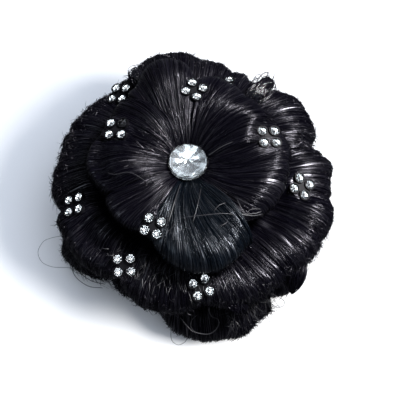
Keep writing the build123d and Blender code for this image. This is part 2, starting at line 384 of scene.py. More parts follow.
def mesh_object(name, parts, materials, marks=None, smooth=True, replaced=()):
    # Piece of the object; each part has points in millimetres, faces and strand coordinates
    points = np.concatenate([part[0] for part in parts])
    faces = []
    count = 0
    for some_points, some_faces, _ in parts:
        faces += [tuple(v + count for v in face) for face in some_faces]
        count += len(some_points)
    mesh = bpy.data.meshes.new(name)
    mesh.from_pydata(to_metres(points).tolist(), [], faces)
    if parts[0][2] is not None:
        uvs = np.concatenate([part[2] for part in parts])
        layer = mesh.uv_layers.new(name="strand")
        corners = np.empty(len(mesh.loops), dtype=np.int32)
        mesh.loops.foreach_get("vertex_index", corners)
        layer.data.foreach_set("uv", (uvs * MM)[corners].ravel())
    mesh.polygons.foreach_set("use_smooth", [smooth] * len(mesh.polygons))
    for material in materials:
        mesh.materials.append(material)
    if marks is not None:
        mesh.polygons.foreach_set("material_index", marks)
    piece = put(name, mesh)
    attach(piece, "root")
    if replaced:
        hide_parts(*replaced)


def face_list(*corners):
    return [tuple(face) for face in np.stack(corners, -1).tolist()]


def shell_faces(columns, rows, wide, tall):
    # Closed shell: an outer grid, and an inner grid with every wide-th column and tall-th row
    inner_columns = (columns - 1) // wide + 1
    inner_rows = (rows - 1) // tall + 1
    first = columns * rows
    i, j = np.meshgrid(np.arange(columns - 1), np.arange(rows - 1), indexing="ij")
    a = (i * rows + j).ravel()
    faces = face_list(a, a + 1, a + rows + 1, a + rows)
    i, j = np.meshgrid(np.arange(inner_columns - 1), np.arange(inner_rows - 1), indexing="ij")
    a = (first + i * inner_rows + j).ravel()
    faces += face_list(a, a + inner_rows, a + inner_rows + 1, a + 1)
    for k in range(inner_columns - 1):
        inside = first + k * inner_rows
        root = [(k * wide + m) * rows for m in range(wide + 1)]
        faces.append((*root, inside + inner_rows, inside))
        tip = [(k * wide + m) * rows + rows - 1 for m in range(wide, -1, -1)]
        faces.append((*tip, inside + inner_rows - 1, inside + 2 * inner_rows - 1))
    last = (columns - 1) * rows
    inner_last = first + (inner_columns - 1) * inner_rows
    for k in range(inner_rows - 1):
        near = [k * tall + m for m in range(tall, -1, -1)]
        faces.append((*near, first + k, first + k + 1))
        far = [last + k * tall + m for m in range(tall + 1)]
        faces.append((*far, inner_last + k + 1, inner_last + k))
    return faces


def tubes(paths, radii, across, u, v):
    # Closed three-sided strands: paths is strands x points x 3, radii and v strands x points
    count, steps, _ = paths.shape
    along = np.gradient(paths, axis=1)
    along /= np.linalg.norm(along, axis=2, keepdims=True) + 1e-9
    side = across - (across * along).sum(2, keepdims=True) * along
    side /= np.linalg.norm(side, axis=2, keepdims=True) + 1e-9
    up = np.cross(along, side)
    ring = []
    for corner in range(3):
        angle = 2 * math.pi * corner / 3 + math.pi / 2
        ring.append(paths + radii[..., None] * (math.cos(angle) * side + math.sin(angle) * up))
    points = np.stack(ring, 2).reshape(-1, 3)
    base = (np.arange(count)[:, None] * steps + np.arange(steps - 1)[None, :]).ravel() * 3
    faces = []
    for corner in range(3):
        following = (corner + 1) % 3
        faces += face_list(base + corner, base + following, base + 3 + following, base + 3 + corner)
    starts = np.arange(count) * steps * 3
    ends = starts + (steps - 1) * 3
    faces += face_list(starts + 2, starts + 1, starts) + face_list(ends, ends + 1, ends + 2)
    v = np.broadcast_to(v, (count, steps)).ravel()
    return points, faces, np.stack([np.repeat(u, steps * 3), np.repeat(v, 3)], -1)


# Sprigs: the plane of each plate and the middle of each stone, read from the solids

def points_of(node):
    return (np.array([v.co for v in frame["nodes"][node].data.vertices]) - AXIS) / MM


def flat_plane(points):
    middle = (points.min(0) + points.max(0)) / 2
    _, _, axes = np.linalg.svd(points - points.mean(0), full_matrices=False)
    normal = axes[2] if axes[2][2] > 0 else -axes[2]
    first = axes[0] - (axes[0] @ normal) * normal
    first /= np.linalg.norm(first)
    return middle, normal, first, np.cross(normal, first)


BARE_SPRIG = 2
SPRIG_COUNT = 10
TURN_STEP_DEG = 1.0
STONE_RIM = 0.2
sprigs = []
for number in range(1, SPRIG_COUNT + 1):
    stones = points_of(f"sprig_stones_{number:02d}")
    plate = points_of(f"sprig_plate_{number:02d}")
    middle, normal, first, second = flat_plane(plate)
    low = ((plate - middle) @ normal).min()
    seat = middle + normal * low
    flat = np.stack([(stones - middle) @ first, (stones - middle) @ second], -1)
    # The turn at which a cross parts the four stones best
    best = None
    for tried in np.radians(np.arange(0, 90, TURN_STEP_DEG)):
        x = flat[:, 0] * math.cos(tried) + flat[:, 1] * math.sin(tried)
        y = -flat[:, 0] * math.sin(tried) + flat[:, 1] * math.cos(tried)
        clear = min(np.abs(x).min(), np.abs(y).min())
        if best is None or clear > best[0]:
            best = (clear, x, y)
    _, x, y = best
    centres = []
    for sign_x in (-1, 1):
        for sign_y in (-1, 1):
            own = stones[(np.sign(x) == sign_x) & (np.sign(y) == sign_y)]
            base = ((own - middle) @ normal).min()
            across = (own - own.mean(0)) @ normal
            rim = own[across < across.min() + STONE_RIM]
            centre = rim.mean(0)
            centre += normal * (base - (centre - middle) @ normal)
            centres.append(centre)
    sprigs.append(dict(seat=seat, normal=normal, first=first, second=second, stones=centres))


# How fine the hair is, one row per tier: column width, rows along, single hairs per millimetre of width
COARSE = 1.0
DETAIL = {
    "inner": dict(column=0.24, rows=37, strands=10.0),
    "middle": dict(column=0.32, rows=31, strands=6.5),
    "outer": dict(column=0.42, rows=25, strands=4.5),
}

# How a lobe laps its neighbours: reach, height, rounding and bulge at its two seams, and its hair's turn
LAP_COLUMNS = ("start_reach", "end_reach", "start_rise", "end_rise", "start_round", "end_round", "swirl")
LAP_COLUMNS += ("start_bulge", "end_bulge")
LAPS = {
    "inner_1": (1.08, 1.04, 0.4, -1.0, 0.0, 0.02, -0.48),
    "inner_2": (1.05, 1.45, -1.0, -1.8, 0.0, 0.0, -0.15),
    "inner_3": (0.95, 1.04, 2.4, -0.6, 0.18, 0.0, 0.25, 0.55, 0.0),
    "inner_4": (1.04, 1.1, -0.6, 1.2, 0.0, 0.04, 0.2, 0.0, 0.05),
    "inner_5": (1.1, 1.1, -3.2, -2.4, 0.0, 0.0, -0.3),
    "inner_6": (1.08, 1.12, 0.6, 2.0, 0.03, 0.06, 0.48, 0.05, 0.15),
    "inner_7": (1.1, 1.04, -3.6, -0.8, 0.0, 0.0, 0.48),
    "middle_1": (1.1, 1.04, 1.4, -1.6, 0.03, 0.02, -0.48),
    "middle_2": (1.05, 1.05, -2.0, -1.0, 0.02, 0.02, 0.0),
    "middle_4": (1.05, 1.05, -2.0, -1.2, 0.02, 0.02, 0.0),
    "middle_5": (1.05, 1.04, 0.6, -1.0, 0.02, 0.02, 0.2),
    "middle_6": (1.1, 1.06, 1.4, -1.2, 0.03, 0.02, 0.3, 0.05, 0.0),
    "middle_8": (1.04, 1.1, -1.2, -0.7, 0.01, 0.0, 0.2),
    "middle_9": (1.06, 1.04, 0.2, -1.0, 0.01, 0.01, -0.2),
    "middle_10": (1.04, 1.1, -1.0, -2.4, 0.01, 0.0, 0.3),
}
USUAL_LAP = (1.05, 1.05, -1.4, -1.4, 0.015, 0.015, 0.0)

# The upper sheet of inner_1 ends at these shares of the hair's length, counted across the lobe
SHEET_ACROSS = (-1.1, -0.85, -0.67, -0.48, -0.23, 0.03, 0.3, 0.47, 0.6, 1.1)
SHEET_END = (0.44, 0.47, 0.513, 0.545, 0.600, 0.660, 0.710, 0.75, 0.80, 0.85)
SHEET_RISE, SHEET_SINK, BEHIND_SINK = 2.0, 0.5, 1.0

# Where a rim is drawn in, or out if negative: places across between the two ends, shares of the radius
RIMS = {
    "inner_1": ((-0.6, -0.3, 0.0, 0.35, 0.7), (-0.03, -0.01, 0.05, 0.09, 0.07, 0.01, 0.0)),
    "inner_3": ((-0.6, -0.1, 0.4, 0.8), (0.0, 0.02, 0.045, 0.045, 0.02, 0.0)),
    "inner_7": ((0.0, 0.5, 0.9), (0.0, 0.0, -0.03, -0.05, -0.05)),
    "middle_1": ((-0.5, -0.13, 0.2), (0.0, 0.0, 0.025, 0.0, 0.0)),
    "middle_2": ((-0.45, -0.1, 0.25, 0.6, 0.85), (0.0, 0.01, 0.03, 0.0, -0.025, -0.07, -0.08)),
    "middle_3": (
        (-0.8, -0.63, -0.52, -0.38, -0.25, -0.1, 0.1, 0.45, 0.75),
        (-0.08, -0.06, -0.01, 0.03, 0.05, 0.035, 0.004, -0.01, -0.025, -0.065, -0.09),
    ),
    "middle_4": ((-0.8, -0.4, 0.0), (-0.08, -0.06, -0.01, 0.01, -0.01)),
    "middle_5": (
        (-0.8, -0.45, -0.1, 0.08, 0.25, 0.45, 0.83),
        (-0.02, -0.02, 0.0, 0.01, 0.04, 0.045, 0.0, -0.02, -0.03),
    ),
    "middle_6": ((-0.9, -0.58, -0.1), (-0.035, -0.035, -0.017, 0.0, 0.0)),
    "middle_9": ((-0.6, -0.25, 0.1, 0.42, 0.75), (0.01, 0.014, 0.02, 0.005, -0.014, -0.055, -0.06)),
    "middle_10": ((-0.8, -0.55, -0.28, 0.22, 0.83), (-0.05, -0.03, 0.01, 0.028, -0.01, 0.01, 0.01)),
    "outer_4": ((-0.4, 0.07, 0.42, 0.8), (-0.018, -0.018, 0.016, 0.03, 0.02, 0.0)),
    "outer_6": ((0.1, 0.45, 0.68, 0.9), (0.0, 0.015, 0.0, 0.02, -0.04, -0.055)),
}

# Raised or sunken places in millimetres; a sharp one drops steeply towards the lobe's first seam
FORM_COLUMNS = ("lobe", "across", "along", "half_across", "half_along", "height", "sharp")
FORMS = (
    ("inner_7", 0.74, 0.58, 0.2, 0.1, 2.0, 1),
    ("inner_7", 0.2, 0.28, 0.8, 0.15, -1.6),
    ("inner_7", -0.45, 0.58, 0.45, 0.12, 1.2),
    ("inner_7", 0.25, 0.68, 0.5, 0.1, 1.3),
    ("inner_7", 0.1, 0.5, 0.1, 0.3, -1.2),
    ("inner_4", 0.1, 0.7, 1.6, 0.035, 0.9),
    ("inner_4", 0.1, 0.61, 1.6, 0.05, -1.2),
    ("inner_4", -0.2, 0.42, 0.7, 0.12, 1.2),
    ("inner_4", 0.35, 0.3, 0.12, 0.25, -0.9),
    ("inner_5", 0.0, 0.45, 0.7, 0.2, -1.8),
    ("inner_5", 0.0, 0.72, 1.4, 0.04, 0.9),
    ("inner_3", -0.5, 0.45, 0.6, 0.16, 1.4),
    ("inner_3", 0.5, 0.5, 0.2, 0.25, -1.0),
    ("inner_2", 0.2, 0.3, 0.9, 0.13, -2.2),
    ("inner_2", 0.3, 0.64, 1.2, 0.17, 2.9),
    ("inner_3", -0.9, 0.62, 0.5, 0.12, 1.0),
    ("inner_1", 0.0, 0.24, 0.9, 0.13, -1.4),
    ("inner_1", 0.15, 0.5, 0.9, 0.14, 1.3),
    ("inner_1", -0.7, 0.44, 0.26, 0.08, 0.8),
    ("inner_6", 0.3, 0.72, 0.55, 0.12, 1.6),
    ("inner_6", 0.3, 0.36, 0.6, 0.13, -1.3),
    ("inner_6", -0.55, 0.4, 0.1, 0.3, -1.2),
    ("middle_5", 0.3, 0.45, 0.06, 0.4, -1.4),
    ("middle_5", -0.35, 0.45, 0.05, 0.4, -1.2),
    ("middle_6", 0.1, 0.42, 0.9, 0.06, -1.6),
    ("middle_6", 0.0, 0.22, 1.4, 0.12, 3.0),
    ("middle_7", 0.0, 0.22, 1.4, 0.12, 2.6),
    ("middle_5", 0.6, 0.22, 0.6, 0.12, 2.4),
    ("middle_6", 0.1, 0.56, 1.2, 0.06, 1.0),
    ("middle_9", 0.2, 0.45, 0.1, 0.4, -1.2),
    ("middle_8", 0.35, 0.2, 0.8, 0.13, -1.8),
    ("middle_8", 0.4, 0.56, 0.8, 0.12, 2.1),
    ("middle_9", -0.1, 0.2, 0.95, 0.13, -2.0),
    ("middle_9", -0.1, 0.57, 0.95, 0.12, 2.6),
    ("middle_1", -0.1, 0.4, 0.08, 0.3, -1.4),
    ("middle_10", 0.3, 0.45, 0.12, 0.3, -1.2),
    ("middle_7", -0.1, 0.45, 0.12, 0.3, -1.0),
)
SHARPNESS = 4

# Size, height and bends along the hair of each layer of locks and clumps
RELIEF = ((7.0, 0.80, 2), (2.6, 0.32, 3), (1.1, 0.16, 4), (0.55, 0.07, 5))


def lap_of(name):
    return dict(start_bulge=0.0, end_bulge=0.0) | dict(zip(LAP_COLUMNS, LAPS.get(name, USUAL_LAP)))


def lobe_width(lobe):
    return math.radians(lobe["span"]) * lobe["row"][2] * RADIUS


def reach_at(lap, side, t):
    # How far across the lobe's skin goes on either side at t along the hair
    belly = np.sin(math.pi * np.clip(t * 1.3, 0, 1)) ** 1.5
    start = lap["start_reach"] + lap["start_bulge"] * belly
    end = lap["end_reach"] + lap["end_bulge"] * belly
    return np.where(side < 0, start, end)


def relief(name, lobe, rng):
    # Locks, finer clumps, laps and forms, as a height over the smooth surface
    width = lobe_width(lobe)
    layers = []
    for size, height, bends in RELIEF:
        layers.append((value_noise(rng, max(3, int(width / size)), bends), height))
    drift = value_noise(rng, 3, 3)
    lap = lap_of(name)
    forms = [dict(zip(FORM_COLUMNS, row)) for row in FORMS if row[0] == name]

    def height(u, t):
        a = (u + 1.2) / 2.4 + 0.035 * drift(t, (u + 1) / 2)
        spread = np.clip(0.2 + t * 1.8, 0, 1)
        total = sum(h * field(a, t) for field, h in layers) * spread
        grow = smooth(t, 0.10, 0.45)
        total = total + grow * lap["start_rise"] * smooth(-u, 0.5, 1.0)
        total = total + grow * lap["end_rise"] * smooth(u, 0.5, 1.0)
        reach = reach_at(lap, u, t)
        rise = np.where(u < 0, lap["start_rise"], lap["end_rise"])
        past = smooth(np.abs(u), reach - 0.10, reach)
        total = total - past * (1.0 + np.maximum(rise, 0)) * (0.3 + 0.7 * grow)
        for form in forms:
            across = (u - form["across"]) / form["half_across"]
            if form.get("sharp"):
                across = np.where(across < 0, across * SHARPNESS, across)
            along = (t - form["along"]) / form["half_along"]
            total = total + form["height"] * np.exp(-across * across - along * along)
        if name == "inner_1":
            end = np.interp(u, SHEET_ACROSS, SHEET_END)
            on_sheet = 1 - smooth(t, end - 0.04, end + 0.06)
            behind = smooth(t, end, end + 0.08) * smooth(u, -0.45, -0.15)
            total = total + SHEET_RISE * on_sheet * smooth(t, 0.05, 0.3) - SHEET_SINK - BEHIND_SINK * behind
        return total

    return height


def lapped(name, lobe):
    # Same lobe with its rim drawn in towards the seams where it lies over a neighbour
    lap = lap_of(name)

    def at(u, t, off=0.0):
        side = u / reach_at(lap, u, t)
        u = u + lap["swirl"] * smooth(t, 0.05, 0.75) * np.clip(1 - side * side, 0, 1)
        drawn = lap["start_round"] * smooth(-u, 0.1, 1.1) + lap["end_round"] * smooth(u, 0.1, 1.1)
        if name in RIMS:
            places, shares = RIMS[name]
            drawn = drawn + np.interp(u, (-PAST_SEAM, *places, PAST_SEAM), shares)
        return place(lobe, u, t, off, drawn)

    return at, lap


# Round each sprig: where the pressing fades out across and in height, and the levels that it presses to
PRESS_REACH = (4.6, 8.6)
PRESS_HEIGHT = (3.0, 7.0)
PRESS_LEVELS = (0.2, 0.95)


def settle(points):
    # Presses the hair flat under each sprig so that its plate lies on it
    for sprig in sprigs:
        away = points - sprig["seat"]
        rise = away @ sprig["normal"]
        flat = np.sqrt(np.maximum((away ** 2).sum(-1) - rise ** 2, 0))
        hold = (1 - smooth(flat, *PRESS_REACH)) * (1 - smooth(np.abs(rise), *PRESS_HEIGHT))
        wanted = np.clip(rise, *PRESS_LEVELS)
        change = (wanted - rise) * hold
        points = points + change[..., None] * sprig["normal"]
    return points


# Length of hair and distance between skins, in millimetres, that the streaks are drawn for
HAIR_LENGTH = 60.0
INNER_APART = 100
# Every how many columns and rows the inner skin has one, and how far it keeps off the wall's inside
INNER_WIDE, INNER_TALL = 6, 3
INNER_GAP = 0.2
HAIR_STEPS = 11
SEEDS = dict(lobes=100, tufts=490, loose_ends=500, locks=700)
lobe_surfaces = {}


def thinned(rng, thinnest, thickest, count, slack, steps):
    # Radii of hairs that thin out to both ends
    ends = np.sin(np.linspace(slack, math.pi - slack, steps))[None, :] ** 0.5
    return rng.uniform(thinnest, thickest, count)[:, None] * ends


def lobe_piece(name, lobe, seed):
    # Skin over a lobe's shell with single hairs on it
    rng = np.random.default_rng(seed)
    detail = DETAIL[lobe["tier"]]
    width = lobe_width(lobe)
    height = relief(name, lobe, rng)
    at, lap = lapped(name, lobe)
    lobe_surfaces[name] = (at, height, width)
    wide, tall = INNER_WIDE, INNER_TALL
    reach = (lap["start_reach"] + lap["end_reach"] + lap["start_bulge"] + lap["end_bulge"]) / 2
    columns = max(4, int(width * reach / detail["column"] / COARSE / wide)) * wide + 1
    rows = detail["rows"]
    side, t = np.meshgrid(np.linspace(-1, 1, columns), np.linspace(0.0, 1.0, rows), indexing="ij")
    u = side * reach_at(lap, side, t)
    outer = settle(at(u, t, height(u, t))[0])
    inner_u, inner_t = np.clip(u[::wide, ::tall], -1.0, 1.0), t[::wide, ::tall]
    inner = at(inner_u, inner_t, -WALL + INNER_GAP)[0]
    points = np.concatenate([outer.reshape(-1, 3), inner.reshape(-1, 3)])
    outer_uv = np.stack([(u + 1) / 2 * width, t * HAIR_LENGTH], -1).reshape(-1, 2)
    inner_uv = np.stack([(inner_u + 1) / 2 * width + INNER_APART, inner_t * HAIR_LENGTH], -1).reshape(-1, 2)
    skin = points, shell_faces(columns, rows, wide, tall), np.concatenate([outer_uv, inner_uv])
    count = int(detail["strands"] * width / COARSE)
    start = rng.uniform(0.0, 0.3, count)
    end = rng.uniform(0.55, 0.98, count)
    t = start[:, None] + (end - start)[:, None] * np.linspace(0, 1, HAIR_STEPS)[None, :]
    u0 = rng.uniform(-1.0, 1.0, count)
    slant = rng.normal(0, 0.04, count)
    wave = rng.normal(0, 0.008, count)
    u = u0[:, None] + slant[:, None] * (t - 0.5) * 2 + wave[:, None] * np.sin(t * 7 + u0[:, None] * 9)
    u = np.clip(u, -1.0, 1.0) * (reach_at(lap, u, t) - 0.04)
    rise = rng.uniform(0.0, 0.25, count)[:, None]
    rise = rise + 0.4 * rng.uniform(0, 1, count)[:, None] ** 3 * np.sin(t * 3.1)
    paths, normals, fibres = at(u, t, height(u, t) + rise)
    paths = settle(paths)
    radii = thinned(rng, 0.06, 0.14, count, 0.12, HAIR_STEPS)
    strand_u = u0 * width + rng.uniform(0, 50, count)
    strands = tubes(paths, radii, np.cross(fibres, normals), strand_u, t * HAIR_LENGTH)
    # inner_6 takes the hair copy with the painted blue sheen
    material = painted_blue_sheen_hair if name == "inner_6" else hair
    mesh_object(f"hair_{name}", [skin, strands], [material], replaced=(f"petal_{name}",))


for seed, (name, lobe) in enumerate(lobes.items(), SEEDS["lobes"]):
    lobe_piece(name, lobe, seed)


# Loose ends: short hairs that leave a lobe's surface

FRIZZ_COLUMNS = ("lobe", "count", "from_along", "to_along", "shortest", "longest", "thick", "lift")
FRIZZ_COLUMNS += ("stray", "from_across", "to_across")
WHOLE_LOBE = dict(from_across=-1.0, to_across=1.0)
FRIZZ = (
    ("inner_1", 90, 0.5, 0.72, 1.0, 3.0, 0.07, 0.25, 0.5),
    ("inner_2", 60, 0.5, 0.72, 1.0, 3.0, 0.07, 0.25, 0.5),
    ("inner_3", 80, 0.1, 0.72, 1.0, 4.0, 0.07, 0.2, 0.4),
    ("inner_4", 110, 0.1, 0.72, 1.0, 4.0, 0.07, 0.2, 0.4),
    ("inner_4", 170, 0.14, 0.36, 3.0, 7.0, 0.14, 0.14, 0.22, -0.7, 1.0),
    ("inner_5", 50, 0.12, 0.3, 2.0, 5.0, 0.13, 0.16, 0.3, -1.0, -0.2),
    ("inner_3", 60, 0.14, 0.34, 2.0, 5.0, 0.11, 0.12, 0.2, -0.6, 0.6),
    ("inner_6", 40, 0.15, 0.6, 1.5, 5.0, 0.07, 0.15, 0.3),
    ("inner_7", 80, 0.5, 0.72, 1.0, 3.0, 0.07, 0.2, 0.5),
    ("middle_1", 260, 0.38, 0.66, 2.0, 4.5, 0.11, 0.4, 0.8, -1.0, -0.3),
    ("middle_1", 160, 0.42, 0.68, 0.8, 2.6, 0.12, 0.9, 0.9, -0.3, 1.0),
    ("middle_2", 100, 0.42, 0.68, 0.8, 2.6, 0.12, 0.9, 0.9),
    ("middle_3", 300, 0.42, 0.68, 0.8, 3.0, 0.12, 1.1, 1.0),
    ("middle_4", 120, 0.4, 0.68, 1.0, 3.4, 0.12, 1.1, 1.0),
    ("middle_5", 1100, 0.42, 0.7, 0.8, 3.2, 0.12, 1.1, 1.0),
    ("middle_6", 280, 0.42, 0.72, 0.8, 2.6, 0.12, 0.9, 0.9),
    ("middle_7", 200, 0.5, 0.72, 0.8, 3.0, 0.12, 1.1, 1.0),
    ("middle_8", 150, 0.12, 0.5, 1.5, 4.0, 0.1, 0.3, 0.8),
    ("middle_8", 300, 0.55, 0.7, 1.5, 3.6, 0.14, 0.25, 0.5),
    ("middle_9", 380, 0.45, 0.72, 0.8, 3.0, 0.12, 1.1, 1.0),
    ("middle_9", 160, 0.56, 0.7, 1.5, 3.6, 0.14, 0.25, 0.5, -1.0, 0.3),
    ("middle_10", 220, 0.42, 0.7, 0.8, 2.6, 0.12, 0.9, 0.9),
    ("outer_2", 160, 0.35, 0.68, 0.8, 3.2, 0.12, 1.1, 1.0),
    ("outer_3", 220, 0.35, 0.7, 0.8, 2.8, 0.12, 1.1, 1.0),
    ("outer_4", 260, 0.35, 0.72, 0.8, 3.0, 0.12, 1.1, 1.0),
    ("outer_5", 160, 0.4, 0.72, 1.0, 3.4, 0.12, 1.1, 1.0),
    ("outer_6", 420, 0.58, 0.7, 1.6, 3.6, 0.18, 0.12, 0.3),
    ("outer_6", 200, 0.5, 0.68, 2.2, 4.6, 0.14, 0.35, 0.8, 0.2, 1.0),
    ("outer_7", 300, 0.4, 0.7, 1.2, 3.6, 0.12, 0.4, 1.0),
    ("outer_6", 150, 0.5, 0.64, 3.0, 5.5, 0.16, 0.3, 0.25, 0.3, 1.0),
    ("outer_8", 160, 0.4, 0.7, 0.8, 3.0, 0.12, 1.0, 1.0),
    ("middle_1", 90, 0.5, 0.7, 2.0, 5.0, 0.09, 0.9, 1.0, -0.4, 1.0),
    ("middle_3", 60, 0.46, 0.66, 2.0, 5.0, 0.09, 0.9, 1.0),
    ("middle_5", 110, 0.46, 0.68, 2.0, 4.6, 0.09, 0.9, 1.0),
    ("middle_6", 110, 0.5, 0.7, 2.0, 5.0, 0.09, 0.8, 1.0),
    ("middle_7", 80, 0.55, 0.72, 2.0, 4.0, 0.1, 0.8, 0.8),
    ("middle_9", 80, 0.5, 0.7, 2.0, 4.6, 0.09, 0.8, 1.0),
    ("outer_4", 110, 0.45, 0.72, 2.0, 5.0, 0.09, 0.8, 1.0),
    ("outer_5", 60, 0.45, 0.72, 2.0, 5.0, 0.09, 0.8, 1.0),
)
FRIZZ_TAPER = np.array([1.0, 1.0, 0.95, 0.8, 0.6, 0.25])
ROOT_DEPTH = 0.15


def frizz(row, rng):
    spec = WHOLE_LOBE | dict(zip(FRIZZ_COLUMNS, row))
    at, height, width = lobe_surfaces[spec["lobe"]]
    count = max(4, int(spec["count"] / COARSE))
    u = rng.uniform(spec["from_across"], spec["to_across"], count)
    t = rng.uniform(spec["from_along"], spec["to_along"], count)
    root, normal, fibre = at(u, t, height(u, t) - ROOT_DEPTH)
    root = settle(root)
    across = np.cross(fibre, normal)
    length = rng.uniform(spec["shortest"], spec["longest"], count)
    turn = rng.normal(0, spec["stray"], count)
    lift = spec["lift"] * rng.uniform(0.3, 1.6, count)
    heading = fibre * np.cos(turn)[:, None] + across * np.sin(turn)[:, None] + normal * lift[:, None]
    heading /= np.linalg.norm(heading, axis=1, keepdims=True)
    bend = across * rng.normal(0, 0.5 * spec["stray"], count)[:, None]
    bend = bend - normal * rng.uniform(0.0, 0.9, count)[:, None] * lift[:, None]
    steps = len(FRIZZ_TAPER)
    s = np.linspace(0, 1, steps)
    path = root[:, None, :] + length[:, None, None] * (
        heading[:, None, :] * s[None, :, None] + bend[:, None, :] * (s ** 2)[None, :, None]
    )
    radii = spec["thick"] * rng.uniform(0.7, 1.2, count)[:, None] * FRIZZ_TAPER[None, :]
    across = np.repeat(across[:, None, :], steps, 1)
    return tubes(path, radii, across, u * width, t[:, None] * HAIR_LENGTH + s * 3)


# Short tufts between the front sprigs, light from the painted sheen in their colour
TUFTS = (
    ("middle_7", 84, 0.16, 0.46, 3.0, 6.5, 0.13, 0.55, 0.45, -0.8, 0.95),
    ("middle_8", 36, 0.14, 0.4, 2.5, 5.5, 0.12, 0.5, 0.45, -1.0, 0.0),
    ("middle_6", 14, 0.2, 0.4, 2.0, 4.0, 0.13, 0.4, 0.6, 0.3, 0.9),
    ("outer_6", 110, 0.34, 0.56, 2.0, 5.0, 0.11, 0.4, 0.45, 0.2, 1.0),
    ("middle_8", 80, 0.5, 0.62, 1.0, 2.4, 0.1, 0.3, 0.4, -0.8, 0.6),
)
rng = np.random.default_rng(SEEDS["tufts"])
mesh_object("hair_tufts", [frizz(row, rng) for row in TUFTS], [sheen_painted_stray_hair])

for tier_name in LOBES:
    rng = np.random.default_rng(SEEDS["loose_ends"] + len(LOBES[tier_name]))
    sets = [frizz(row, rng) for row in FRIZZ if row[0].startswith(tier_name)]
    mesh_object(f"hair_loose_ends_{tier_name}", sets, [hair])


# Single hairs and threads: radius, and points in millimetres about the crystal's axis

